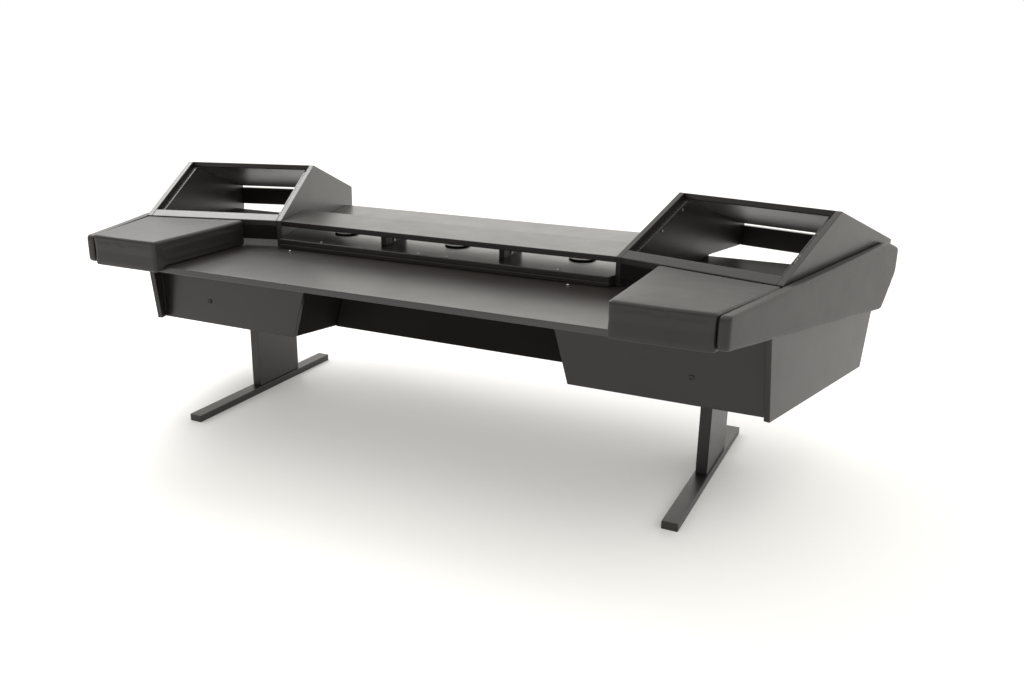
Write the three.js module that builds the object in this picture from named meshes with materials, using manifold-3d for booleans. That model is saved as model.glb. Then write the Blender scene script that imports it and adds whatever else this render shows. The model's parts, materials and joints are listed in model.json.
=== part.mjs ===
import * as THREE from 'three';
import { mergeVertices } from 'three/addons/utils/BufferGeometryUtils.js';
import Module from 'manifold-3d';

// A wide desk with two toed-in rack turrets, in millimetres. X runs to the seated user's right,
// Y away from the user and Z up from the floor. Y is zero at the worktop's front edge until the
// last lines, which move the origin to the middle of the footprint.

// Driving sizes
const rackWidth = 486;
const rackUnit = 44.45;
const toeIn = THREE.MathUtils.degToRad(15);
const board = 18;
const seat = 0.3;
const overrun = 5;

// Levels: the worktop above the floor, and what stands above or hangs below it
const worktopTop = 647;
const worktopThick = 20;
const deckRise = 33;
const upperRise = 91;
const turretRise = 153;
const turretRearRise = 9;
const skirtDrop = 281;

// Plan places
const worktopDepth = 998;
const turretX = 620;
const turretY = 440;
const turretDepth = 786;
const slopeRun = 347;
const deckLip = 27;
const deckCornerInset = 10;
const deckRearReach = 687;
const shelfDepth = 226;

// Monitor shelf plates and their through bolts
const plateX = 223;
const plateSetback = 44;
const plateDepth = 143;
const plateThick = 18;
const boltSetback = 56;
const boltRise = 12;
const boltRadius = 3;
const boltHeadRadius = 5.5;
const boltHeadThick = 3.5;
const boltClearance = 0.3;

// Cable grommets in the raised deck
const grommetSpacing = 453;
const grommetSetback = 168;
const grommetHole = 40;
const grommetFlange = 44;
const grommetRise = 5;
const grommetChamfer = 1.5;
const grommetSleeve = 13;
const grommetWall = 3;
const grommetLedge = 3;
const capThick = 3.5;
const cableNotchWidth = 22;
const cableNotchDepth = 24;
const grommetClearance = 0.4;

// Turret boards
const stripFace = 41;
const cableSlot = 23;
const rearBoardDrop = 9;
const rearOpeningRise = 12;
const ventSetback = 36;
const heelGap = 60;

// End panels
const panelFrontLow = 7;
const panelFrontNose = -34;
const panelNoseDrop = 53;
const panelHipDrop = 107;
const panelKneeDrop = 122;
const panelKneeInset = 95;
const panelRearSlant = 35;

// Rack rails and their screws
const railFace = 18;
const railLeg = 36;
const railSteel = 2.5;
const railRecess = 17;
const railFoot = 50;
const railHeadGap = 9;
const railHole = 6.5;
const railHoleInset = 10.2;
const railHoleShares = [1 / 7, 1 / 2, 6 / 7];
const railScrewDepth = 27;
const railScrewShares = [0.53, 0.93];
const screwHeadRadius = 4.5;
const screwHeadThick = 2.5;
const screwDish = 1;

// Armrest pads
const padSetIn = 138;
const padOverhang = 39.5;
const padLip = 14;
const padRise = 88;
const padCrown = 5;
const padCorner = 14;
const padTopRound = 8;
const padBottomRound = 6;
const padDrawIn = 2;

// Side wings
const wingThick = 30;
const wingRound = 7;
const wingCorner = 15;
const wingReach = 349;
const wingStep = 4;
const wingLowStep = 8;
const wingRearSetback = 4;
const wingRearRise = 5;
const wingTopSlant = 82;
const wingShoulderDrop = 27;
const wingHipRise = 6;
const wingKneeRise = 19;
const wingKneeInset = 88;
const wingSquareEnd = 49;

// Skirt boards round the kneehole
const apronFront = 345;
const kneeholeHalf = 516;
const kneeholeSplay = THREE.MathUtils.degToRad(15);
const kneeholeLean = THREE.MathUtils.degToRad(16);
const modestySetback = 187;
const apronCapRise = 84;
const apronCapRadius = 8.5;
const apronCapThick = 3;
const apronCapBore = 4;
const apronCapBoreDepth = 2;

// Legs
const legX = 894;
const footWidth = 50;
const footHeight = 25.6;
const footFront = 220;
const footLength = 820;
const columnWidth = 37;
const columnFront = 580;
const columnDepth = 250;
const columnWall = 3;
const legFlangeWidth = 120;
const legFlangeThick = 6;

// Screws through the worktop and the deck's front edge
const deckScrewXs = [-441, -53, 53, 441];
const deckScrewNames = ['left_outer', 'left_inner', 'right_inner', 'right_outer'];
const riserWidth = 30;
const worktopScrewGap = 26;
const worktopScrewXs = [-753, -547, 491];
const worktopScrewNames = ['far_left', 'left', 'right'];

// Steps of the curved surfaces
const roundSteps = 40;
const smallRoundSteps = 20;
const arcSteps = 5;
const edgeSteps = 8;
const bevelSteps = 3;
const crownSteps = 4;

const deckTop = worktopTop + deckRise;
const upperTop = worktopTop + upperRise;
const turretTop = upperTop + turretRise;
const turretRearTop = upperTop + turretRearRise;
const deckFront = turretY - deckLip;
const deckRear = turretY + deckRearReach;
const deckFrontHalf = turretX - deckCornerInset;
const panelHip = turretRearTop - panelHipDrop;
const panelKnee = panelHip - panelKneeDrop;
const padBottom = worktopTop - padLip;
const padEdgeTop = worktopTop + padRise;
const padInnerX = turretX + padSetIn;
const worktopUnder = worktopTop - worktopThick;
const skirtBottom = worktopUnder - skirtDrop;
const rearOpening = worktopTop + rearOpeningRise;
const upperUnder = upperTop - board;
const deckUnder = deckTop - board;
const baySide = board + rackWidth;
const slopeAngle = Math.atan2(turretTop - upperTop, slopeRun);
const slopeLength = Math.hypot(slopeRun, turretTop - upperTop);
const rearPitch = (turretTop - turretRearTop) / (turretDepth - slopeRun);

const wasm = await Module();
wasm.setup();

function looks(color, roughness, metalness) {
  return new THREE.MeshStandardMaterial({ color, roughness, metalness });
}

const laminate = () => looks(0x3f3b39, 0.42, 0);
const vinyl = () => looks(0x45413f, 0.6, 0);
const steel = () => looks(0x383433, 0.45, 0.3);
const blackSteel = () => looks(0x171616, 0.5, 0.4);
const plastic = () => looks(0x1d1b1b, 0.55, 0);
const brightSteel = () => looks(0xa8a6a3, 0.3, 1);

// Booleans

function merged(geometry) {
  const copy = geometry.clone();
  copy.deleteAttribute('normal');
  copy.deleteAttribute('uv');
  return mergeVertices(copy);
}

function solidOf(geometry) {
  const closed = merged(geometry);
  const vertProperties = new Float32Array(closed.getAttribute('position').array);
  const triVerts = new Uint32Array(closed.index.array);
  return new wasm.Manifold(new wasm.Mesh({ numProp: 3, vertProperties, triVerts }));
}

function geometryOf(solid) {
  const mesh = solid.getMesh();
  const geometry = new THREE.BufferGeometry();
  geometry.setAttribute('position', new THREE.BufferAttribute(new Float32Array(mesh.vertProperties), 3));
  geometry.setIndex(new THREE.BufferAttribute(new Uint32Array(mesh.triVerts), 1));
  geometry.computeVertexNormals();
  return geometry;
}

function cut(geometry, cutters) {
  let solid = solidOf(geometry);
  for (const cutter of cutters) {
    solid = solid.subtract(solidOf(cutter));
  }
  return geometryOf(solid);
}

// Outlines and boards

function outline(points) {
  return new THREE.Shape(points.map(([x, y]) => new THREE.Vector2(x, y)));
}

// A board lying flat: its outline is in plan and it rises from the base level.
function flatBoard(points, base, thick) {
  const geometry = new THREE.ExtrudeGeometry(outline(points), { depth: thick, bevelEnabled: false });
  return geometry.translate(0, 0, base);
}

// A board facing sideways: its outline is in Y and Z and it runs outward from the start in X.
function sideBoard(points, start, thick, bevel = {}) {
  const settings = { depth: thick, bevelEnabled: false, ...bevel };
  const geometry = new THREE.ExtrudeGeometry(outline(points), settings);
  const turn = new THREE.Matrix4().makeBasis(
    new THREE.Vector3(0, 1, 0),
    new THREE.Vector3(0, 0, 1),
    new THREE.Vector3(1, 0, 0),
  );
  return geometry.applyMatrix4(turn).translate(start, 0, 0);
}

// A board facing the user: its outline is in X and Z and it runs rearward from the front.
function frontBoard(points, front, thick) {
  const geometry = new THREE.ExtrudeGeometry(outline(points), { depth: thick, bevelEnabled: false });
  return geometry.rotateX(Math.PI / 2).translate(0, front + thick, 0);
}

function block(x0, x1, y0, y1, z0, z1) {
  const geometry = new THREE.BoxGeometry(x1 - x0, y1 - y0, z1 - z0);
  return geometry.translate((x0 + x1) / 2, (y0 + y1) / 2, (z0 + z1) / 2);
}

// A round piece about the Z axis from radius and height pairs.
function turned(profile, steps) {
  const geometry = new THREE.LatheGeometry(profile.map(([r, z]) => new THREE.Vector2(r, z)), steps);
  return geometry.rotateX(Math.PI / 2);
}

function mirrored(geometry) {
  const flipped = merged(geometry);
  flipped.scale(-1, 1, 1);
  const index = flipped.index.array;
  for (let i = 0; i < index.length; i += 3) {
    [index[i], index[i + 1]] = [index[i + 1], index[i]];
  }
  flipped.computeVertexNormals();
  return flipped;
}

// A closed outline of straight edges whose corners are rounded by curves.
function roundedOutline(corners, radius) {
  const points = [];
  corners.forEach((corner, i) => {
    const before = corners[(i + corners.length - 1) % corners.length];
    const after = corners[(i + 1) % corners.length];
    const toward = (p, q) => q.clone().sub(p).setLength(radius).add(p);
    const curve = new THREE.QuadraticBezierCurve(toward(corner, before), corner, toward(corner, after));
    points.push(...curve.getPoints(arcSteps));
    const next = toward(after, corner);
    const last = points[points.length - 1];
    for (let k = 1; k < edgeSteps; k += 1) {
      points.push(last.clone().lerp(next, k / edgeSteps));
    }
  });
  return points;
}

function insetRing(ring, inset) {
  return ring.map((point, i) => {
    const before = ring[(i + ring.length - 1) % ring.length];
    const after = ring[(i + 1) % ring.length];
    const along = after.clone().sub(before).normalize();
    return new THREE.Vector2(point.x - along.y * inset, point.y + along.x * inset);
  });
}

// A padded block over a plan outline: rounded edges, drawn-in sides and a crowned top.
function cushion(ring, bottom, top) {
  const middle = ring.reduce((sum, p) => sum.add(p), new THREE.Vector2()).divideScalar(ring.length);
  const levels = [];
  for (let k = 0; k <= bevelSteps; k += 1) {
    const turn = (k / bevelSteps) * (Math.PI / 2);
    const inset = padBottomRound * (1 - Math.sin(turn));
    levels.push([insetRing(ring, inset), bottom + padBottomRound * (1 - Math.cos(turn))]);
  }
  levels.push([insetRing(ring, padDrawIn), (bottom + top) / 2]);
  for (let k = 0; k <= bevelSteps; k += 1) {
    const turn = (k / bevelSteps) * (Math.PI / 2);
    const inset = padTopRound * (1 - Math.cos(turn));
    levels.push([insetRing(ring, inset), top - padTopRound * (1 - Math.sin(turn))]);
  }
  const rim = insetRing(ring, padTopRound);
  for (let k = 1; k < crownSteps; k += 1) {
    const scale = 1 - k / crownSteps;
    const lifted = rim.map((p) => p.clone().sub(middle).multiplyScalar(scale).add(middle));
    levels.push([lifted, top + padCrown * (1 - scale * scale)]);
  }
  return stacked(levels, middle, bottom, top + padCrown);
}

// A closed skin over rings of equal length, with a middle point under and over them.
function stacked(levels, middle, bottom, top) {
  const count = levels[0][0].length;
  const positions = levels.flatMap(([ring, z]) => ring.flatMap((p) => [p.x, p.y, z]));
  const low = positions.length / 3;
  positions.push(middle.x, middle.y, bottom, middle.x, middle.y, top);
  const high = low + 1;
  const crownStart = (levels.length - 1) * count;
  const index = [];
  for (let k = 0; k < count; k += 1) {
    const next = (k + 1) % count;
    index.push(low, next, k, high, crownStart + k, crownStart + next);
    for (let j = 0; j + 1 < levels.length; j += 1) {
      const [a, b] = [j * count + k, j * count + next];
      index.push(a, b, b + count, a, b + count, a + count);
    }
  }
  const geometry = new THREE.BufferGeometry();
  geometry.setAttribute('position', new THREE.Float32BufferAttribute(positions, 3));
  geometry.setIndex(index);
  geometry.computeVertexNormals();
  return geometry;
}

// Scene

const desk = new THREE.Group();

function add(name, geometry, material, parent = desk) {
  const mesh = new THREE.Mesh(geometry, material);
  mesh.name = name;
  parent.add(mesh);
  return mesh;
}

// The same piece on the right and, mirrored, on the left.
function addPair(name, geometry, material, groups = { right: desk, left: desk }) {
  add(`${name}_right`, geometry, material, groups.right);
  add(`${name}_left`, mirrored(geometry), material, groups.left);
}

// Each turret has its own axes: X outward along its front, Y rearward, from its inner front corner.
function turretGroup(side) {
  const group = new THREE.Group();
  group.position.set(side * turretX, turretY, 0);
  group.rotation.z = -side * toeIn;
  desk.add(group);
  return group;
}

const turrets = { right: turretGroup(1), left: turretGroup(-1) };

// X on the desk of the right turret's line at a distance outward, for a given Y.
function turretLineX(outward, y) {
  return turretX + outward / Math.cos(toeIn) + (y - turretY) * Math.tan(toeIn);
}

// Y on the desk of the right turret's front line at a distance rearward, for a given X.
function turretFrontY(rearward, x) {
  return turretY + rearward / Math.cos(toeIn) - (x - turretX) * Math.tan(toeIn);
}

function symmetric(rightHalf) {
  return [...rightHalf, ...rightHalf.toReversed().map(([x, y]) => [-x, y])];
}

// Worktop and raised deck

function addWorktop() {
  const side = baySide - seat;
  const corners = symmetric([
    [turretLineX(side, 0), 0],
    [turretLineX(side, worktopDepth), worktopDepth],
  ]);
  add('worktop', flatBoard(corners, worktopUnder, worktopThick), laminate());
}

function screwHead() {
  return turned([
    [0, 0],
    [screwHeadRadius, 0],
    [screwHeadRadius, screwHeadThick - screwDish],
    [screwHeadRadius - screwDish, screwHeadThick],
    [screwDish, screwHeadThick],
    [0, screwHeadThick - screwDish],
  ], smallRoundSteps);
}

function addScrews() {
  deckScrewXs.forEach((x, i) => {
    const head = screwHead().translate(x, deckFront + riserWidth / 2, deckTop + seat);
    add(`deck_screw_${deckScrewNames[i]}`, head, brightSteel());
  });
  worktopScrewXs.forEach((x, i) => {
    const head = screwHead().translate(x, deckFront - worktopScrewGap, worktopTop + seat);
    add(`worktop_screw_${worktopScrewNames[i]}`, head, brightSteel());
  });
}

function addRiser() {
  const base = worktopTop + seat;
  const corners = symmetric([
    [deckFrontHalf, deckFront],
    [turretLineX(-seat, turretY), turretY],
    [turretLineX(-seat, worktopDepth), worktopDepth],
    [turretLineX(-riserWidth, worktopDepth), worktopDepth],
    [turretLineX(-riserWidth, deckFront + riserWidth), deckFront + riserWidth],
  ]);
  add('deck_riser', flatBoard(corners, base, deckUnder - seat - base), laminate());
}

const grommets = [[-1, 'left'], [0, 'centre'], [1, 'right']];
const grommetLine = turretY + grommetSetback;

function addDeck() {
  const corners = symmetric([
    [deckFrontHalf, deckFront],
    [turretLineX(-seat, turretY), turretY],
    [turretLineX(-seat, deckRear), deckRear],
  ]);
  const holes = grommets.map(([side]) => {
    const hole = new THREE.CylinderGeometry(grommetHole, grommetHole, board + overrun, roundSteps);
    return hole.rotateX(Math.PI / 2).translate(side * grommetSpacing, grommetLine, deckTop - board / 2);
  });
  add('raised_deck', cut(flatBoard(corners, deckUnder, board), holes), laminate());
}

function grommetRing() {
  const sleeve = grommetHole - grommetClearance;
  const ledge = sleeve - grommetWall - grommetLedge;
  const recess = sleeve - grommetWall;
  const top = seat + grommetRise;
  return turned([
    [ledge, -grommetSleeve],
    [sleeve, -grommetSleeve],
    [sleeve, seat],
    [grommetFlange, seat],
    [grommetFlange, top - grommetChamfer],
    [grommetFlange - grommetChamfer, top],
    [recess, top],
    [recess, top - capThick - seat],
    [ledge, top - capThick - seat],
    [ledge, -grommetSleeve],
  ], roundSteps);
}

function grommetCap() {
  const radius = grommetHole - grommetClearance - grommetWall - grommetClearance;
  const disc = new THREE.CylinderGeometry(radius, radius, capThick, roundSteps).rotateX(Math.PI / 2);
  const half = cableNotchWidth / 2;
  const notch = block(-half, half, radius - cableNotchDepth, radius + overrun, -capThick, capThick);
  return cut(disc, [notch]).translate(0, 0, seat + grommetRise - capThick / 2);
}

function addGrommets() {
  for (const [side, name] of grommets) {
    const ring = grommetRing().translate(side * grommetSpacing, grommetLine, deckTop);
    add(`grommet_ring_${name}`, ring, plastic());
    const cap = grommetCap().translate(side * grommetSpacing, grommetLine, deckTop);
    add(`grommet_cap_${name}`, cap, plastic());
  }
}

// Monitor shelf on its two plates

function addShelf() {
  const rear = turretY + shelfDepth;
  const corners = symmetric([
    [turretLineX(-seat, turretY), turretY],
    [turretLineX(-seat, rear), rear],
  ]);
  add('monitor_shelf', flatBoard(corners, upperUnder, board), laminate());
}

function shelfBolt() {
  const reach = plateThick / 2 + seat;
  const end = reach + boltHeadThick;
  const bolt = turned([
    [0, -end],
    [boltHeadRadius, -end],
    [boltHeadRadius, -reach],
    [boltRadius, -reach],
    [boltRadius, reach],
    [boltHeadRadius, reach],
    [boltHeadRadius, end],
    [0, end],
  ], smallRoundSteps);
  return bolt.rotateY(Math.PI / 2);
}

function addShelfPlates() {
  const front = turretY + plateSetback;
  const bottom = deckTop + seat;
  const top = upperUnder - seat;
  const half = plateThick / 2;
  const boltY = front + boltSetback;
  const boltZ = deckTop + boltRise;
  const bore = new THREE.CylinderGeometry(
    boltRadius + boltClearance, boltRadius + boltClearance, plateThick + overrun, smallRoundSteps,
  );
  bore.rotateZ(Math.PI / 2).translate(plateX, boltY, boltZ);
  const plate = block(plateX - half, plateX + half, front, front + plateDepth, bottom, top);
  addPair('shelf_plate', cut(plate, [bore]), laminate());
  addPair('shelf_bolt', shelfBolt().translate(plateX, boltY, boltZ), brightSteel());
}

// Turrets: boards between an inner panel that stands on the worktop and an outer end panel

function addInnerPanels() {
  const notch = (worktopDepth - turretY) / Math.cos(toeIn) - heelGap;
  const stand = worktopTop + seat;
  const panel = sideBoard([
    [0, stand],
    [notch, stand],
    [notch, rearOpening],
    [turretDepth, rearOpening],
    [turretDepth, turretRearTop],
    [slopeRun, turretTop],
    [0, upperTop],
  ], 0, board);
  addPair('turret_inner_panel', panel, laminate(), turrets);
}

function addEndPanels() {
  const knee = turretDepth - panelKneeInset;
  const nose = worktopTop - panelNoseDrop;
  const panel = sideBoard([
    [panelFrontLow, skirtBottom],
    [knee - panelRearSlant, skirtBottom],
    [knee, panelKnee],
    [turretDepth, panelHip],
    [turretDepth, turretRearTop],
    [slopeRun, turretTop],
    [0, upperTop],
    [0, worktopTop - seat],
    [panelFrontNose, worktopTop - seat],
    [panelFrontNose, nose],
  ], baySide, board);
  addPair('end_panel', panel, laminate(), turrets);
}

function addTurretBoards() {
  const inner = board + seat;
  const width = rackWidth - seat - seat;
  const outer = inner + width;
  const [along, rise] = [Math.cos(slopeAngle), Math.sin(slopeAngle)];
  const under = upperTop - board / along;
  const strip = sideBoard([
    [0, under],
    [stripFace * along + board * rise, upperTop + stripFace * rise - board * along],
    [stripFace * along, upperTop + stripFace * rise],
    [0, upperTop],
  ], inner, width);
  addPair('turret_strip', strip, laminate(), turrets);
  const frontLow = worktopTop + cableSlot;
  const front = sideBoard([
    [0, frontLow],
    [board, frontLow],
    [board, under + board * Math.tan(slopeAngle) - seat],
    [0, under - seat],
  ], inner, width);
  addPair('turret_front_board', front, laminate(), turrets);
  const rearTop = upperTop - rearBoardDrop;
  const rear = block(inner, outer, turretDepth - board, turretDepth, rearOpening, rearTop);
  addPair('turret_rear_board', rear, laminate(), turrets);
  const drop = board * Math.hypot(1, rearPitch);
  const end = turretDepth - ventSetback;
  const endTop = turretTop - (end - slopeRun) * rearPitch;
  const top = sideBoard([
    [slopeRun, turretTop - drop],
    [end, endTop - drop],
    [end, endTop],
    [slopeRun, turretTop],
  ], inner, width);
  addPair('turret_top', top, laminate(), turrets);
}

// Axes along the front slope: outward, square into the bay, and up the slope.
function alongSlope(outward, up, into) {
  const slope = new THREE.Vector3(0, Math.cos(slopeAngle), Math.sin(slopeAngle));
  const inward = new THREE.Vector3(0, Math.sin(slopeAngle), -Math.cos(slopeAngle));
  const matrix = new THREE.Matrix4().makeBasis(new THREE.Vector3(1, 0, 0), inward, slope);
  const place = new THREE.Vector3(outward, 0, upperTop);
  return matrix.setPosition(place.addScaledVector(slope, up).addScaledVector(inward, into));
}

const railLength = slopeLength - railFoot - railHeadGap;

function rackRail(side) {
  const section = [
    [0, 0],
    [side * railFace, 0],
    [side * railFace, railSteel],
    [side * railSteel, railSteel],
    [side * railSteel, railLeg],
    [0, railLeg],
  ];
  const rail = new THREE.ExtrudeGeometry(outline(section), { depth: railLength, bevelEnabled: false });
  const units = Math.floor(railLength / rackUnit);
  const margin = (railLength - units * rackUnit) / 2;
  const holes = [];
  for (let unit = 0; unit < units; unit += 1) {
    for (const share of railHoleShares) {
      const hole = new THREE.BoxGeometry(railHole, railSteel + overrun, railHole);
      holes.push(hole.translate(side * railHoleInset, 0, margin + (unit + share) * rackUnit));
    }
  }
  return cut(rail, holes);
}

function addRackRails() {
  const inner = rackRail(1).applyMatrix4(alongSlope(board + seat, railFoot, railRecess));
  addPair('rack_rail_inner', inner, blackSteel(), turrets);
  const outer = rackRail(-1).applyMatrix4(alongSlope(baySide - seat, railFoot, railRecess));
  addPair('rack_rail_outer', outer, blackSteel(), turrets);
}

function addRailScrews() {
  railScrewShares.forEach((share, i) => {
    const up = railFoot + share * railLength;
    const place = alongSlope(board + seat + railSteel + seat, up, railRecess + railScrewDepth);
    const head = screwHead().rotateY(Math.PI / 2).applyMatrix4(place);
    addPair(i === 0 ? 'rail_screw_lower' : 'rail_screw_upper', head, brightSteel(), turrets);
  });
}

// Armrest pads on the worktop's corners, with a lip down over its front edge

function addPads() {
  const outerLine = baySide + board - seat;
  const front = -padOverhang;
  const past = padTopRound + seat;
  const corner = (x, y) => new THREE.Vector2(x, y);
  const cornerX = turretX + outerLine * Math.cos(toeIn) + past * Math.sin(toeIn);
  const cornerY = turretY - outerLine * Math.sin(toeIn) + past * Math.cos(toeIn);
  const ring = roundedOutline([
    corner(padInnerX, front),
    corner(turretLineX(outerLine, front), front),
    corner(cornerX, cornerY),
    corner(padInnerX, turretFrontY(past, padInnerX)),
  ], padCorner);
  const above = block(
    padInnerX - overrun, cornerX + overrun, -seat, turretY + overrun, padBottom - overrun, worktopTop + seat,
  );
  const behind = block(0, baySide + board, -seat, turretDepth, padBottom, turretTop);
  behind.rotateZ(-toeIn).translate(turretX, turretY, 0);
  addPair('armrest_pad', cut(cushion(ring, padBottom, padEdgeTop), [above, behind]), vinyl());
}

function addWings() {
  const rear = turretDepth - wingRearSetback;
  const rearTop = turretRearTop + wingRearRise;
  const corner = (y, z) => new THREE.Vector2(y, z);
  const ring = roundedOutline([
    corner(-wingReach, padBottom + wingLowStep),
    corner(rear - wingKneeInset, panelKnee + wingKneeRise),
    corner(rear, panelHip + wingHipRise),
    corner(rear, rearTop - wingShoulderDrop),
    corner(rear - wingTopSlant, rearTop),
    corner(-wingReach, padEdgeTop - wingStep),
  ], wingCorner);
  const bevel = {
    bevelEnabled: true,
    bevelThickness: wingRound,
    bevelSize: wingRound,
    bevelOffset: -wingRound,
    bevelSegments: bevelSteps,
  };
  const points = ring.map((p) => [p.x, p.y]);
  const start = baySide + board + seat + wingRound;
  const wing = sideBoard(points, start, wingThick - wingRound - wingRound, bevel);
  addPair('side_wing', squareFront(wing, start - wingRound + wingThick / 2), vinyl(), turrets);
}

// Slides the front end's points so that it faces the user squarely.
function squareFront(geometry, middle) {
  const position = geometry.getAttribute('position');
  for (let i = 0; i < position.count; i += 1) {
    if (position.getY(i) < wingSquareEnd - wingReach) {
      position.setY(i, position.getY(i) + (position.getX(i) - middle) * Math.tan(toeIn));
    }
  }
  return geometry;
}

// Skirt: two aprons, two splayed and leaning kneehole sides and a modesty panel

const skirtTop = worktopUnder - seat;
const skirtHeight = skirtTop - skirtBottom;
const kneeholeNarrowing = skirtHeight * Math.tan(kneeholeLean);
const modestyFront = apronFront + modestySetback;

function kneeholeX(y) {
  return kneeholeHalf - (y - apronFront - board) * Math.tan(kneeholeSplay);
}

function addAprons() {
  const outer = turretLineX(baySide - seat, apronFront);
  const apron = frontBoard([
    [kneeholeHalf, skirtBottom],
    [outer, skirtBottom],
    [outer, skirtTop],
    [kneeholeHalf - kneeholeNarrowing, skirtTop],
  ], apronFront, board);
  addPair('apron', apron, laminate());
  const cap = turned([
    [0, 0],
    [apronCapRadius, 0],
    [apronCapRadius, apronCapThick],
    [apronCapBore, apronCapThick],
    [apronCapBore, apronCapThick - apronCapBoreDepth],
    [0, apronCapThick - apronCapBoreDepth],
  ], smallRoundSteps);
  cap.rotateX(Math.PI / 2).translate(legX, apronFront - seat, skirtBottom + apronCapRise);
  addPair('apron_cap', cap, plastic());
}

function addKneeholeSides() {
  const front = apronFront + board + seat;
  const rear = modestyFront + board;
  const across = board / Math.cos(kneeholeSplay);
  const side = flatBoard([
    [kneeholeX(front), front],
    [kneeholeX(front) + across, front],
    [kneeholeX(rear) + across, rear],
    [kneeholeX(rear), rear],
  ], 0, skirtHeight);
  const lean = new THREE.Matrix4().makeShear(0, 0, 0, 0, -Math.tan(kneeholeLean), 0);
  side.applyMatrix4(lean).translate(0, 0, skirtBottom);
  addPair('kneehole_side', side, laminate());
  const half = kneeholeX(rear) - seat;
  const modesty = symmetric([
    [half, skirtBottom],
    [half - kneeholeNarrowing, skirtTop],
  ]);
  add('modesty_panel', frontBoard(modesty, modestyFront, board), laminate());
}

// Legs: a flat column with a top flange, standing on a long foot bar

function addLegs() {
  const halfFoot = footWidth / 2;
  const foot = block(legX - halfFoot, legX + halfFoot, footFront, footFront + footLength, 0, footHeight);
  addPair('leg_foot', foot, steel());
  const bottom = footHeight + seat;
  const flange = skirtTop - legFlangeThick;
  const [half, wide] = [columnWidth / 2, legFlangeWidth / 2];
  const column = frontBoard([
    [legX - half, bottom],
    [legX + half, bottom],
    [legX + half, flange],
    [legX + wide, flange],
    [legX + wide, skirtTop],
    [legX - wide, skirtTop],
    [legX - wide, flange],
    [legX - half, flange],
  ], columnFront, columnDepth);
  const inside = half - columnWall;
  const [front, rear] = [columnFront + columnWall, columnFront + columnDepth - columnWall];
  const hollow = block(legX - inside, legX + inside, front, rear, bottom - overrun, skirtTop + overrun);
  addPair('leg_column', cut(column, [hollow]), steel());
}

addWorktop();
addRiser();
addDeck();
addScrews();
addGrommets();
addShelf();
addShelfPlates();
addInnerPanels();
addEndPanels();
addTurretBoards();
addRackRails();
addRailScrews();
addPads();
addWings();
addAprons();
addKneeholeSides();
addLegs();

// The origin stands on the floor under the middle of the desk's box.
const rearmost = turretY + turretDepth * Math.cos(toeIn);
desk.position.y = -(rearmost - padOverhang) / 2;

export default desk;
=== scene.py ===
"""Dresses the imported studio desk: materials, padded armrests and wings, floor, light and camera."""
import json
import math

import bpy
import bmesh
from mathutils import Matrix, Vector


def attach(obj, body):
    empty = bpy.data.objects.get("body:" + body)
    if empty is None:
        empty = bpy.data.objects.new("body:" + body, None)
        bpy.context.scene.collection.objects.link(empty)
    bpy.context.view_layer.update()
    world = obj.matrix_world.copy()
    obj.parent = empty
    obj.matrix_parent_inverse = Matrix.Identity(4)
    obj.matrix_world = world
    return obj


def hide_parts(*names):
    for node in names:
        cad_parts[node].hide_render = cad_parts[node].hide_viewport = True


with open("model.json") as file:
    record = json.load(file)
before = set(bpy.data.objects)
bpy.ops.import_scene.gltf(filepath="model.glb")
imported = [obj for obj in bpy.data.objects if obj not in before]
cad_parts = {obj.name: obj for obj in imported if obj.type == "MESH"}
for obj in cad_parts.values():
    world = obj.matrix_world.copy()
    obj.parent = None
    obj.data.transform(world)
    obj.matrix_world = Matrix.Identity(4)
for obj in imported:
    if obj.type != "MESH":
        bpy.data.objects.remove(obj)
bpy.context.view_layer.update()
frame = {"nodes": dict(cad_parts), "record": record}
nodes = frame["nodes"]
scene = bpy.context.scene

MM = 0.001
SIDES = ("right", "left")
WHITE = (1.0, 1.0, 1.0, 1.0)

# Camera, in metres and degrees, with the focal length and lens centre in pixels of the photograph
IMAGE_WIDTH = 1024
IMAGE_HEIGHT = 682
CAMERA_PLACE = (1.504, -2.8586, 1.3627)
CAMERA_YAW = 27.549
CAMERA_PITCH = 17.746
CAMERA_ROLL = 0.075
FOCAL_PIXELS = 964.104
CENTRE_X = 457.214
CENTRE_Y = 344.986
SENSOR_MM = 36.0
CLIP_END = 200

# The room, with the way to its bright wall and the walls' tones from 0 opposite it to 1 at its middle
ROOM_STRENGTH = 1.35
BRIGHT_WALL = (0.08, 0.997, 0.0)
WALL_TONES = [
    (0.0, (0.2, 0.198, 0.19, 1.0)),
    (0.45, (0.28, 0.277, 0.265, 1.0)),
    (0.75, (0.75, 0.74, 0.7, 1.0)),
    (0.92, (1.35, 1.33, 1.26, 1.0)),
]

# Ceiling, which starts and takes over at these upward parts of a direction of length 1
CEILING_START = 0.25
CEILING_FULL = 0.6
CEILING_TONE = (1.0, 0.985, 0.94, 1.0)

# Key light above the back left corner
KEY_PLACE = (-2.6, 1.0, 3.3)
KEY_TARGET = (0.0, 0.0, 0.6)
KEY_SIZE = (1.8, 1.8)
KEY_POWER = 75

# Floor
FLOOR_SIZE = 60
FLOOR_WARMTH = 0.004
FLOOR_GLOW = 0.12
FLOOR_GLOW_TONE = (1.0, 0.99, 0.96, 1.0)

# Charcoal's weights of red, green and blue
CHARCOAL_TINT = (1.5, 1.15, 1.1)

# A drifting tone is plain where its noise is nearer than this to 0 or 1
SOFT_MARGIN = 0.3
SHARP_MARGIN = 0.35
NOISE_RAGGEDNESS = 0.5

# How far a powder coat's roughness strays from its middle
COAT_SPREAD = 0.05

# Refractive index of each laminate, which sets how strongly it mirrors the room
LAMINATE_INDEX = {
    "laminate": 1.48,
    "worktop_laminate": 1.62,
    "deck_laminate": 1.56,
    "shelf_laminate": 1.43,
}

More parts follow.
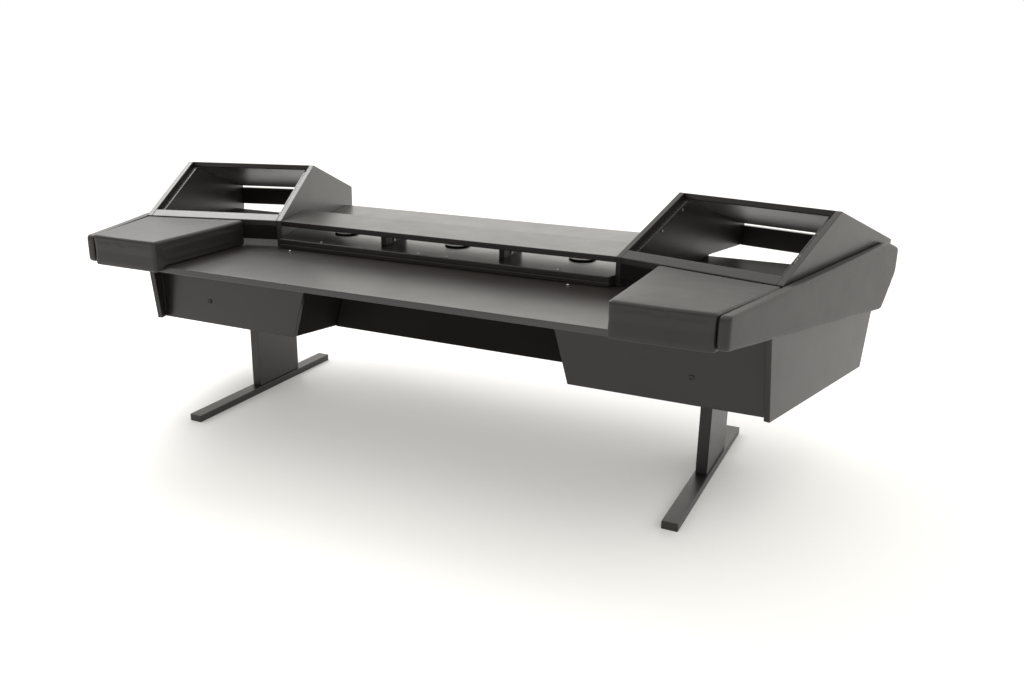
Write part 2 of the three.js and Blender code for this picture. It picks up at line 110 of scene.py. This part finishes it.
# Boards whose finish differs from their slot's; the kneehole boards and the boards under the turret
# strips get a darker copy as painted shade
BOARD_FINISHES = {
    "worktop": "worktop_laminate",
    "raised_deck": "deck_laminate",
    "monitor_shelf": "shelf_laminate",
    "modesty_panel": "shaded_recess_board",
    "kneehole_side_right": "shaded_recess_board",
    "kneehole_side_left": "shaded_recess_board",
    "turret_front_board_right": "shaded_recess_board",
    "turret_front_board_left": "shaded_recess_board",
}

# Edge rounding in the mesh, by slot
BOARD_EDGE = 1.6 * MM
STEEL_EDGE = 1.6 * MM
SMALL_EDGE = 0.35 * MM
EDGES = {
    "laminate": BOARD_EDGE,
    "leg_steel": STEEL_EDGE,
    "rail_steel": SMALL_EDGE,
    "bright_steel": SMALL_EDGE,
    "plastic": SMALL_EDGE,
}
EDGE_STEPS = 2
SHARP_ANGLE = math.radians(30)
WELD_GAP = 0.01 * MM

# Edge rounding in the laminate's shading, and how well the normals match on flats and edges
LAMINATE_ROUNDING = 4 * MM
FLAT_MATCH = 0.99
EDGE_MATCH = 0.8

# Padding
PAD_VOXEL = 5 * MM
PAD_SMOOTHING = 0.5
PAD_SMOOTHING_STEPS = 2
PAD_SHRINK = 0.3 * MM
PAD_SWELL_CAP = 0.7 * MM
PAD_PRESSURE = 4.0
PAD_STIFFNESS = 60
PAD_BENDING = 20
PAD_FRAMES = 20
PAD_SUBDIVISIONS = 1


# Node helpers

def new_material(name):
    material = bpy.data.materials.new(name)
    material.use_nodes = True
    return material, material.node_tree, material.node_tree.nodes["Principled BSDF"]


def add_node(tree, kind, **inputs):
    node = tree.nodes.new(kind)
    for key, value in inputs.items():
        node.inputs[key.replace("_", " ")].default_value = value
    return node


def object_coords(tree):
    return tree.nodes.new("ShaderNodeTexCoord").outputs["Object"]


def noise(tree, coords, scale, detail, raggedness=NOISE_RAGGEDNESS):
    node = add_node(tree, "ShaderNodeTexNoise", Scale=scale, Detail=detail, Roughness=raggedness)
    tree.links.new(coords, node.inputs["Vector"])
    return node.outputs["Fac"]


def ramp(tree, factor, stops):
    node = tree.nodes.new("ShaderNodeValToRGB")
    tree.links.new(factor, node.inputs["Fac"])
    elements = node.color_ramp.elements
    for element, (place, color) in zip(elements, (stops[0], stops[-1])):
        element.position = place
        element.color = color
    for place, color in stops[1:-1]:
        elements.new(place).color = color
    return node.outputs["Color"]


def blend_colors(tree, factor, linked, plain):
    """A mix from a linked colour to a plain one."""
    mix = tree.nodes.new("ShaderNodeMix")
    mix.data_type = "RGBA"
    tree.links.new(factor, mix.inputs["Factor"])
    tree.links.new(linked, mix.inputs["A"])
    mix.inputs["B"].default_value = plain
    return mix.outputs["Result"]


def dot_product(tree, first):
    """A dot product whose second vector the caller links or sets."""
    node = tree.nodes.new("ShaderNodeVectorMath")
    node.operation = "DOT_PRODUCT"
    tree.links.new(first, node.inputs[0])
    return node


def map_range(tree, value, **limits):
    node = add_node(tree, "ShaderNodeMapRange", **limits)
    tree.links.new(value, node.inputs["Value"])
    return node.outputs["Result"]


def bump(tree, height, strength, depth, normal=None):
    node = add_node(tree, "ShaderNodeBump", Strength=strength, Distance=depth)
    tree.links.new(height, node.inputs["Height"])
    if normal is not None:
        tree.links.new(normal, node.inputs["Normal"])
    return node.outputs["Normal"]


def charcoal(value):
    red, green, blue = (value * share for share in CHARCOAL_TINT)
    return (red, green, blue, 1.0)


def grey(value, warmth=0.0):
    return (value * (1 + warmth), value, value * (1 - warmth), 1.0)


def drifting_tone(tree, coords, scale, detail, low, high, margin=SOFT_MARGIN):
    """A tone that drifts between two colours over the surface."""
    drift = noise(tree, coords, scale, detail)
    return ramp(tree, drift, [(margin, low), (1 - margin, high)])


def uneven_gloss(tree, shader, coords, scale, detail, low, high, raggedness=NOISE_RAGGEDNESS):
    """Roughness that varies between two values over the surface."""
    marks = noise(tree, coords, scale, detail, raggedness)
    tree.links.new(map_range(tree, marks, To_Min=low, To_Max=high), shader.inputs["Roughness"])


def grain(tree, coords, scale, detail, strength, depth, normal=None):
    return bump(tree, noise(tree, coords, scale, detail), strength, depth, normal)


def edge_mask(tree):
    """A rounded normal near the edges, and a mask that is 1 on them and 0 on the flats."""
    rounded = add_node(tree, "ShaderNodeBevel", Radius=LAMINATE_ROUNDING).outputs["Normal"]
    surface = tree.nodes.new("ShaderNodeNewGeometry")
    match = dot_product(tree, rounded)
    tree.links.new(surface.outputs["True Normal"], match.inputs[1])
    mask = map_range(tree, match.outputs["Value"], From_Min=FLAT_MATCH, From_Max=EDGE_MATCH)
    return rounded, mask


# Materials

def laminate_material(name, index):
    """Charcoal melamine with a fine pearl grain, slightly worn edges painted lighter, partly as a
    painted highlight, and faint wiping marks.
    """
    material, tree, shader = new_material(name)
    coords = object_coords(tree)
    rounded, edges = edge_mask(tree)
    tone = drifting_tone(tree, coords, scale=3.0, detail=4, low=charcoal(0.008), high=charcoal(0.0105))
    # Lighter colour on the edges: wear, and a painted highlight where the edges catch the light
    rubbed_and_highlit = blend_colors(tree, edges, tone, charcoal(0.016))
    tree.links.new(rubbed_and_highlit, shader.inputs["Base Color"])
    uneven_gloss(tree, shader, coords, scale=9.0, detail=5, low=0.26, high=0.38, raggedness=0.62)
    pearl = grain(tree, coords, scale=1400.0, detail=3, strength=0.16, depth=0.2 * MM, normal=rounded)
    tree.links.new(pearl, shader.inputs["Normal"])
    shader.inputs["IOR"].default_value = index
    return material


def shaded_board_material():
    """Matt, near-black copy of the laminate for the boards of the kneehole and under the turret
    strips, as painted shade for these recesses.
    """
    material, tree, shader = new_material("shaded_recess_board")
    coords = object_coords(tree)
    # Near-black tone: painted shade of the kneehole and of the recesses under the turret strips
    tone = drifting_tone(tree, coords, scale=4.0, detail=4, low=charcoal(0.004), high=charcoal(0.006))
    tree.links.new(tone, shader.inputs["Base Color"])
    uneven_gloss(tree, shader, coords, scale=12.0, detail=4, low=0.6, high=0.7)
    texture = grain(tree, coords, scale=900.0, detail=3, strength=0.2, depth=0.2 * MM)
    tree.links.new(texture, shader.inputs["Normal"])
    shader.inputs["Specular IOR Level"].default_value = 0.13
    return material


def vinyl_material():
    """Charcoal upholstery vinyl with a shallow pebbled grain."""
    material, tree, shader = new_material("vinyl")
    coords = object_coords(tree)
    tone = drifting_tone(tree, coords, scale=5.0, detail=5, low=charcoal(0.007), high=charcoal(0.009))
    tree.links.new(tone, shader.inputs["Base Color"])
    uneven_gloss(tree, shader, coords, scale=14.0, detail=4, low=0.42, high=0.52)
    cells = add_node(tree, "ShaderNodeTexVoronoi", Scale=620.0)
    cells.feature = "DISTANCE_TO_EDGE"
    tree.links.new(coords, cells.inputs["Vector"])
    pebbles = bump(tree, cells.outputs["Distance"], strength=0.22, depth=0.3 * MM)
    waves = grain(tree, coords, scale=22.0, detail=3, strength=0.12, depth=2 * MM, normal=pebbles)
    tree.links.new(waves, shader.inputs["Normal"])
    shader.inputs["Sheen Weight"].default_value = 0.06
    shader.inputs["Sheen Roughness"].default_value = 0.4
    return material


def powder_coat_material(name, low, high, roughness):
    """Powder-coated steel with fine orange peel."""
    material, tree, shader = new_material(name)
    coords = object_coords(tree)
    tone = drifting_tone(tree, coords, scale=8.0, detail=4, low=charcoal(low), high=charcoal(high))
    tree.links.new(tone, shader.inputs["Base Color"])
    glossy, dull = roughness - COAT_SPREAD, roughness + COAT_SPREAD
    uneven_gloss(tree, shader, coords, scale=30.0, detail=5, low=glossy, high=dull)
    peel = grain(tree, coords, scale=900.0, detail=2, strength=0.2, depth=0.2 * MM)
    tree.links.new(peel, shader.inputs["Normal"])
    return material


def plastic_material():
    """Black moulded plastic with a fine spark texture."""
    material, tree, shader = new_material("plastic")
    coords = object_coords(tree)
    dark, pale = grey(0.006), grey(0.009)
    tone = drifting_tone(tree, coords, scale=40.0, detail=3, low=dark, high=pale, margin=SHARP_MARGIN)
    tree.links.new(tone, shader.inputs["Base Color"])
    uneven_gloss(tree, shader, coords, scale=60.0, detail=4, low=0.36, high=0.46)
    sparks = grain(tree, coords, scale=1800.0, detail=2, strength=0.25, depth=0.1 * MM)
    tree.links.new(sparks, shader.inputs["Normal"])
    return material


def bright_steel_material():
    """Zinc-plated fasteners, slightly dulled."""
    material, tree, shader = new_material("bright_steel")
    coords = object_coords(tree)
    dark, pale = grey(0.42, warmth=0.03), grey(0.55, warmth=0.02)
    tone = drifting_tone(tree, coords, scale=300.0, detail=4, low=dark, high=pale, margin=SHARP_MARGIN)
    tree.links.new(tone, shader.inputs["Base Color"])
    uneven_gloss(tree, shader, coords, scale=500.0, detail=3, low=0.25, high=0.4)
    shader.inputs["Metallic"].default_value = 1.0
    return material


def make_materials():
    laminates = {name: laminate_material(name, index) for name, index in LAMINATE_INDEX.items()}
    return laminates | {
        "shaded_recess_board": shaded_board_material(),
        "vinyl": vinyl_material(),
        "leg_steel": powder_coat_material("leg_steel", low=0.011, high=0.014, roughness=0.4),
        "rail_steel": powder_coat_material("rail_steel", low=0.004, high=0.006, roughness=0.3),
        "bright_steel": bright_steel_material(),
        "plastic": plastic_material(),
    }


def paint(piece, material):
    piece.data.materials.clear()
    piece.data.materials.append(material)


# Boards and small parts keep their CAD shape and get rounded edges

def round_edges(piece, width):
    weld = piece.modifiers.new("weld", "WELD")
    weld.merge_threshold = WELD_GAP
    bevel = piece.modifiers.new("edges", "BEVEL")
    bevel.width = width
    bevel.segments = EDGE_STEPS
    bevel.limit_method = "ANGLE"
    bevel.angle_limit = SHARP_ANGLE
    bevel.use_clamp_overlap = True
    normals = piece.modifiers.new("normals", "WEIGHTED_NORMAL")
    normals.keep_sharp = True


def dress_nodes(materials):
    slots = {part["node"]: part["material_slot"] for part in frame["record"]["subparts"]}
    for name, piece in nodes.items():
        slot = slots[name]
        paint(piece, materials[BOARD_FINISHES.get(name, slot)])
        if slot in EDGES:
            round_edges(piece, EDGES[slot])


# Padded pieces

def apply_modifiers(piece):
    bpy.context.view_layer.update()
    graph = bpy.context.evaluated_depsgraph_get()
    mesh = bpy.data.meshes.new_from_object(piece.evaluated_get(graph))
    piece.modifiers.clear()
    old = piece.data
    piece.data = mesh
    bpy.data.meshes.remove(old)


def welded_copy(node, name):
    """The CAD solid's mesh as a new object, with its doubled vertices merged."""
    mesh = nodes[node].data.copy()
    piece = bpy.data.objects.new(name, mesh)
    scene.collection.objects.link(piece)
    work = bmesh.new()
    work.from_mesh(mesh)
    bmesh.ops.remove_doubles(work, verts=work.verts, dist=WELD_GAP)
    work.to_mesh(mesh)
    work.free()
    return piece


def padded_copy(node, name):
    """An even mesh on the CAD solid's surface, drawn in a little to leave room for the swelling."""
    piece = welded_copy(node, name)
    remesh = piece.modifiers.new("remesh", "REMESH")
    remesh.mode = "VOXEL"
    remesh.voxel_size = PAD_VOXEL
    remesh.use_smooth_shade = True
    smooth = piece.modifiers.new("smooth", "SMOOTH")
    smooth.factor = PAD_SMOOTHING
    smooth.iterations = PAD_SMOOTHING_STEPS
    settle = piece.modifiers.new("settle", "SHRINKWRAP")
    settle.wrap_method = "NEAREST_SURFACEPOINT"
    settle.target = nodes[node]
    apply_modifiers(piece)
    inward = [vertex.normal * -PAD_SHRINK for vertex in piece.data.vertices]
    for vertex, move in zip(piece.data.vertices, inward):
        vertex.co += move
    return piece


def swell(piece):
    """Inflates the cover by a short cloth simulation and holds each point near its start."""
    rest = [vertex.co.copy() for vertex in piece.data.vertices]
    cloth = piece.modifiers.new("cloth", "CLOTH")
    settings = cloth.settings
    settings.use_pressure = True
    settings.uniform_pressure_force = PAD_PRESSURE
    settings.tension_stiffness = PAD_STIFFNESS
    settings.compression_stiffness = PAD_STIFFNESS
    settings.bending_stiffness = PAD_BENDING
    settings.effector_weights.gravity = 0
    for step in range(1, PAD_FRAMES + 1):
        scene.frame_set(step)
    apply_modifiers(piece)
    scene.frame_set(1)
    for vertex, start in zip(piece.data.vertices, rest):
        move = vertex.co - start
        if move.length > PAD_SWELL_CAP:
            vertex.co = start + move.normalized() * PAD_SWELL_CAP


def refine(piece):
    fine = piece.modifiers.new("fine", "SUBSURF")
    fine.levels = PAD_SUBDIVISIONS
    fine.render_levels = PAD_SUBDIVISIONS
    apply_modifiers(piece)
    for polygon in piece.data.polygons:
        polygon.use_smooth = True


def add_padding(materials):
    for node in ("armrest_pad", "side_wing"):
        for side in SIDES:
            piece = padded_copy(f"{node}_{side}", f"{node}_cover_{side}")
            swell(piece)
            refine(piece)
            paint(piece, materials["vinyl"])
            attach(piece, "desk")
            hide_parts(f"{node}_{side}")


# Studio

def floor_material():
    """Pale matt floor that glows a little, so that it stays near white away from the desk."""
    material, tree, shader = new_material("floor")
    coords = object_coords(tree)
    dark, pale = grey(0.86, FLOOR_WARMTH), grey(0.88, FLOOR_WARMTH)
    tone = drifting_tone(tree, coords, scale=0.8, detail=3, low=dark, high=pale)
    tree.links.new(tone, shader.inputs["Base Color"])
    shader.inputs["Roughness"].default_value = 0.75
    shader.inputs["Specular IOR Level"].default_value = 0.2
    shader.inputs["Emission Color"].default_value = FLOOR_GLOW_TONE
    shader.inputs["Emission Strength"].default_value = FLOOR_GLOW
    return material


def add_floor():
    bpy.ops.mesh.primitive_plane_add(size=FLOOR_SIZE, location=(0, 0, 0))
    floor = bpy.context.object
    floor.name = "floor"
    paint(floor, floor_material())


def room_tones(tree):
    """A white ceiling over walls that are bright behind the desk and dim in front of it."""
    coords = tree.nodes.new("ShaderNodeTexCoord").outputs["Generated"]
    aim = dot_product(tree, coords)
    aim.inputs[1].default_value = BRIGHT_WALL
    around = map_range(tree, aim.outputs["Value"], From_Min=-1.0, From_Max=1.0)
    walls = ramp(tree, around, WALL_TONES)
    split = tree.nodes.new("ShaderNodeSeparateXYZ")
    tree.links.new(coords, split.inputs["Vector"])
    above = map_range(tree, split.outputs["Z"], From_Min=CEILING_START, From_Max=CEILING_FULL)
    return blend_colors(tree, above, walls, CEILING_TONE)


def add_world():
    """White where the camera sees it, and a softer white room for light and reflections."""
    world = bpy.data.worlds.new("studio")
    scene.world = world
    world.use_nodes = True
    tree = world.node_tree
    tree.nodes.clear()
    path = tree.nodes.new("ShaderNodeLightPath")
    seen = add_node(tree, "ShaderNodeBackground", Color=WHITE, Strength=1.0)
    room = add_node(tree, "ShaderNodeBackground", Strength=ROOM_STRENGTH)
    tree.links.new(room_tones(tree), room.inputs["Color"])
    mix = tree.nodes.new("ShaderNodeMixShader")
    tree.links.new(path.outputs["Is Camera Ray"], mix.inputs["Fac"])
    tree.links.new(room.outputs["Background"], mix.inputs[1])
    tree.links.new(seen.outputs["Background"], mix.inputs[2])
    out = tree.nodes.new("ShaderNodeOutputWorld")
    tree.links.new(mix.outputs["Shader"], out.inputs["Surface"])


def add_key_light():
    data = bpy.data.lights.new("key", "AREA")
    data.shape = "RECTANGLE"
    data.size, data.size_y = KEY_SIZE
    data.energy = KEY_POWER
    light = bpy.data.objects.new("key", data)
    light.location = KEY_PLACE
    aim = Vector(KEY_TARGET) - Vector(KEY_PLACE)
    light.rotation_euler = aim.to_track_quat("-Z", "Y").to_euler()
    scene.collection.objects.link(light)


def camera_turn():
    """The camera's rotation, from its yaw, pitch and roll."""
    yaw, pitch, roll = (math.radians(a) for a in (CAMERA_YAW, CAMERA_PITCH, CAMERA_ROLL))
    level = math.cos(pitch)
    ahead = Vector((-math.sin(yaw) * level, math.cos(yaw) * level, -math.sin(pitch)))
    side = Vector((math.cos(yaw), math.sin(yaw), 0))
    top = side.cross(ahead)
    right = side * math.cos(roll) + top * math.sin(roll)
    up = top * math.cos(roll) - side * math.sin(roll)
    return Matrix((right, up, -ahead)).transposed().to_4x4()


def add_camera():
    data = bpy.data.cameras.new("camera")
    data.sensor_width = SENSOR_MM
    data.sensor_fit = "HORIZONTAL"
    data.lens = FOCAL_PIXELS / IMAGE_WIDTH * SENSOR_MM
    data.shift_x = (IMAGE_WIDTH / 2 - CENTRE_X) / IMAGE_WIDTH
    data.shift_y = (CENTRE_Y - IMAGE_HEIGHT / 2) / IMAGE_WIDTH
    data.clip_end = CLIP_END
    camera = bpy.data.objects.new("camera", data)
    camera.matrix_world = Matrix.Translation(CAMERA_PLACE) @ camera_turn()
    scene.collection.objects.link(camera)
    scene.camera = camera


scene.view_settings.view_transform = "Standard"
add_camera()
materials = make_materials()
dress_nodes(materials)
add_padding(materials)
add_floor()
add_world()
add_key_light()

bpy.context.view_layer.update()
